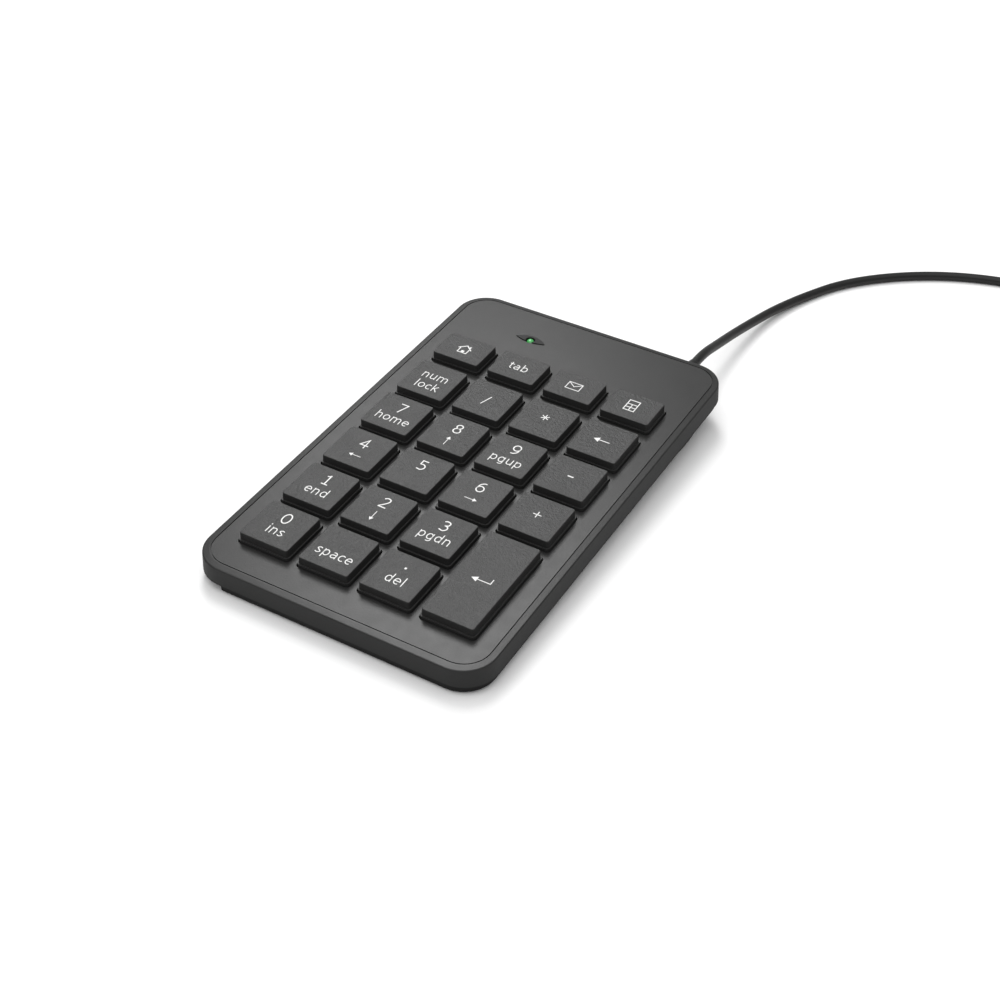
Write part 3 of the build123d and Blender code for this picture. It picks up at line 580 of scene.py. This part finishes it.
class Mark:
    """Collects flat shapes for one key's print."""

    def __init__(self):
        self.form = bmesh.new()

    def area(self, points):
        self.form.faces.new([self.form.verts.new((x, y, 0)) for x, y in points])

    def stroke(self, points, width, closed=False):
        """A mitred line of one width through the points, as one strip of faces."""
        line = [Vector(point) for point in points]
        if not closed and (line[0] - line[-1]).length < ENDS_MEET:
            line, closed = line[:-1], True
        count = len(line)
        pairs = []
        for n, point in enumerate(line):
            before = line[n - 1] if closed or n else None
            after = line[(n + 1) % count] if closed or n < count - 1 else None
            ways = [(b - a).normalized() for a, b in ((before, point), (point, after)) if a and b]
            across = sum((Vector((-way.y, way.x)) for way in ways), Vector((0, 0))).normalized()
            square = across.dot(Vector((-ways[0].y, ways[0].x)))
            reach = width / 2 / max(SHARPEST_MITRE, square)
            pairs.append([self.form.verts.new((*(point + across * reach * side), 0))
                          for side in (1, -1)])
        for n in range(count if closed else count - 1):
            (a, b), (c, d) = pairs[n], pairs[(n + 1) % count]
            self.form.faces.new([a, b, d, c])

    def word(self, letters, x, baseline):
        """A word centred across on x, standing on a baseline."""
        width = sum(LETTERS[letter][0] for letter in letters)
        start = x - width / 2
        for letter in letters:
            advance, lines = LETTERS[letter]
            for line in lines:
                self.stroke([(start + px, baseline + py) for px, py in line], WORD_LINE)
            start += advance

    def digit(self, digit, x, baseline):
        for line in DIGITS[digit]:
            self.stroke([(x + px, baseline + py) for px, py in line], DIGIT_LINE)

    def arrow(self, x, y, turn, length, head, line):
        """An arrow centred on a point, pointing right and then turned by degrees."""
        way = Vector((math.cos(math.radians(turn)), math.sin(math.radians(turn))))
        across = Vector((-way.y, way.x))
        middle = Vector((x, y))
        tip = middle + way * length / 2
        neck = tip - way * head
        self.stroke([middle - way * length / 2, neck + way * 0.1], line)
        self.area([tip, neck + across * head * 0.6, neck - across * head * 0.6])

    def lay_on(self, key, name):
        """Thickens the shapes into a coat of ink and lays it on the key's top face."""
        low, high = case_extent(key)
        for face in self.form.faces:
            face.normal_update()
            if face.normal.z > 0:
                face.normal_flip()
        grown = bmesh.ops.extrude_face_region(self.form, geom=self.form.faces[:], use_keep_orig=True)
        moved = [item for item in grown["geom"] if isinstance(item, bmesh.types.BMVert)]
        bmesh.ops.translate(self.form, verts=moved, vec=(0, 0, INK_THICKNESS / MM))
        bmesh.ops.recalc_face_normals(self.form, faces=self.form.faces)
        mesh = bpy.data.meshes.new(name)
        self.form.to_mesh(mesh)
        self.form.free()
        middle = CASE @ Vector(((low.x + high.x) / 2, (low.y + high.y) / 2, high.z))
        mesh.transform(Matrix.Translation(middle) @ CASE.to_4x4() @ Matrix.Scale(MM, 4))
        mesh.materials.append(legend_ink)
        piece = bpy.data.objects.new(name, mesh)
        bpy.context.scene.collection.objects.link(piece)
        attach(piece, key)


DIGIT_X = 0.1
DIGIT_BASELINE = {"0": 0.9, "1": 0.8, "2": 0.8, "3": 0.9, "4": 0.48, "5": 0.48, "6": 0.55,
                  "7": 0.42, "8": 0.48, "9": 0.64}
WORDS = {"0": ("ins", 0.3, -3.85), "1": ("end", 0.15, -3.95), "3": ("pgdn", 0.0, -3.7),
         "7": ("home", 0.2, -4.3), "9": ("pgup", -0.1, -4.2)}
ARROWS = {"2": (0.1, -3.1, -90), "4": (0.3, -3.2, 180), "6": (0.0, -2.95, 0), "8": (0.0, -3.5, 90)}

for digit, baseline in DIGIT_BASELINE.items():
    mark = Mark()
    mark.digit(digit, DIGIT_X, baseline)
    if digit in WORDS:
        mark.word(*WORDS[digit])
    if digit in ARROWS:
        mark.arrow(*ARROWS[digit], length=3.9, head=1.15, line=0.2)
    mark.lay_on(f"key_{digit}", f"legend_{digit}")


def house(mark):
    mark.stroke([(-2.1, -0.15), (0.1, 1.75), (2.3, -0.15)], 0.36)
    mark.stroke([(-1.4, 0.1), (-1.4, -2.1), (1.6, -2.1), (1.6, 0.1)], 0.3)
    mark.area([(-0.4, -2.2), (0.6, -2.2), (0.6, -0.95), (-0.4, -0.95)])
    mark.area([(1.15, 0.9), (1.6, 0.5), (1.6, 1.7), (1.15, 1.7)])


def envelope(mark):
    mark.stroke([(-2.45, -1.55), (2.0, -1.55), (2.0, 1.65), (-2.45, 1.65)], 0.26, closed=True)
    mark.stroke([(-2.35, 1.5), (-0.2, -0.15), (1.9, 1.5)], 0.24)


def calculator(mark):
    mark.stroke([(-1.95, -2.15), (1.35, -2.15), (1.35, 2.7), (-1.95, 2.7)], 0.3, closed=True)
    for y in (0.85, -0.65):
        mark.stroke([(-1.95, y), (1.35, y)], SIGN_LINE)
    mark.stroke([(-0.3, 0.85), (-0.3, -2.15)], SIGN_LINE)


def enter(mark):
    mark.stroke([(2.9, 1.05), (2.9, -0.77), (-1.1, -0.77)], 0.26)
    mark.area([(-2.8, -0.77), (-1.0, 0.18), (-1.0, -1.72)])


def star(mark):
    for turn in (90, 30, 150):
        way = Vector((math.cos(math.radians(turn)), math.sin(math.radians(turn)))) * 1.3
        middle = Vector((-0.2, 1.0))
        mark.stroke([middle - way, middle + way], SIGN_LINE)


OTHER_LEGENDS = {
    "space": lambda mark: mark.word("space", 0.2, -3.8),
    "decimal": lambda mark: (mark.stroke([(0, 2.45), (0, 3.1)], 0.6), mark.word("del", 0.0, -3.7)),
    "enter": enter,
    "plus": lambda mark: (mark.stroke([(-1.45, 0.58), (1.1, 0.58)], SIGN_LINE),
                          mark.stroke([(-0.17, -0.7), (-0.17, 1.85)], SIGN_LINE)),
    "minus": lambda mark: mark.stroke([(-1.05, 0.2), (0.75, 0.2)], 0.45),
    "multiply": star,
    "divide": lambda mark: mark.stroke([(-0.8, -2.7), (0.6, 1.6)], SIGN_LINE),
    "num_lock": lambda mark: (mark.word("num", 0.15, 0.15), mark.word("lock", 0.15, -4.85)),
    "backspace": lambda mark: mark.arrow(-0.25, -0.25, 180, 5.0, 1.7, SIGN_LINE),
    "home_page": house,
    "tab": lambda mark: mark.word("tab", 0.0, -1.5),
    "mail": envelope,
    "calculator": calculator,
}
for name, draw in OTHER_LEGENDS.items():
    mark = Mark()
    draw(mark)
    mark.lay_on(f"key_{name}", f"legend_{name}")


# ---------------------------------------------------------------- floor, lights, world
FLOOR_SIZE = 4.0
WORLD_STRENGTH = 0.4
LIGHT_TARGET = Vector((0, 0, 0))
# name -> place, size, power
LIGHTS = {
    "back_softbox": ((-0.41, 0.575, 0.966), (0.34, 0.7), 7.0),
    "top_softbox": ((0.0, -0.3, 1.3), (2.0, 2.0), 19),
}


def make_stage():
    floor_mesh = bpy.data.meshes.new("floor")
    form = bmesh.new()
    bmesh.ops.create_grid(form, x_segments=1, y_segments=1, size=FLOOR_SIZE)
    form.to_mesh(floor_mesh)
    form.free()
    floor = bpy.data.objects.new("floor", floor_mesh)
    bpy.context.scene.collection.objects.link(floor)
    paper = Shader("paper")
    paper.link(paper.mix(paper.noise(40, 2), (0.86, 0.86, 0.86), (0.88, 0.88, 0.88)),
               paper.surface.inputs["Base Color"])
    paper.set(Roughness=0.9, Specular_IOR_Level=0.1)
    floor_mesh.materials.append(paper.material)


def soft_light(name, place, size, power):
    lamp = bpy.data.lights.new(name, "AREA")
    lamp.shape = "RECTANGLE"
    lamp.size, lamp.size_y = size
    lamp.energy = power
    holder = bpy.data.objects.new(name, lamp)
    holder.location = place
    holder.rotation_euler = (LIGHT_TARGET - Vector(place)).to_track_quat("-Z", "Y").to_euler()
    bpy.context.scene.collection.objects.link(holder)


make_stage()
for name, (place, size, power) in LIGHTS.items():
    soft_light(name, place, size, power)

world = bpy.data.worlds.new("studio")
world.use_nodes = True
world.node_tree.nodes["Background"].inputs["Color"].default_value = (1, 1, 1, 1)
world.node_tree.nodes["Background"].inputs["Strength"].default_value = WORLD_STRENGTH
bpy.context.scene.world = world
bpy.context.scene.view_settings.view_transform = "Standard"
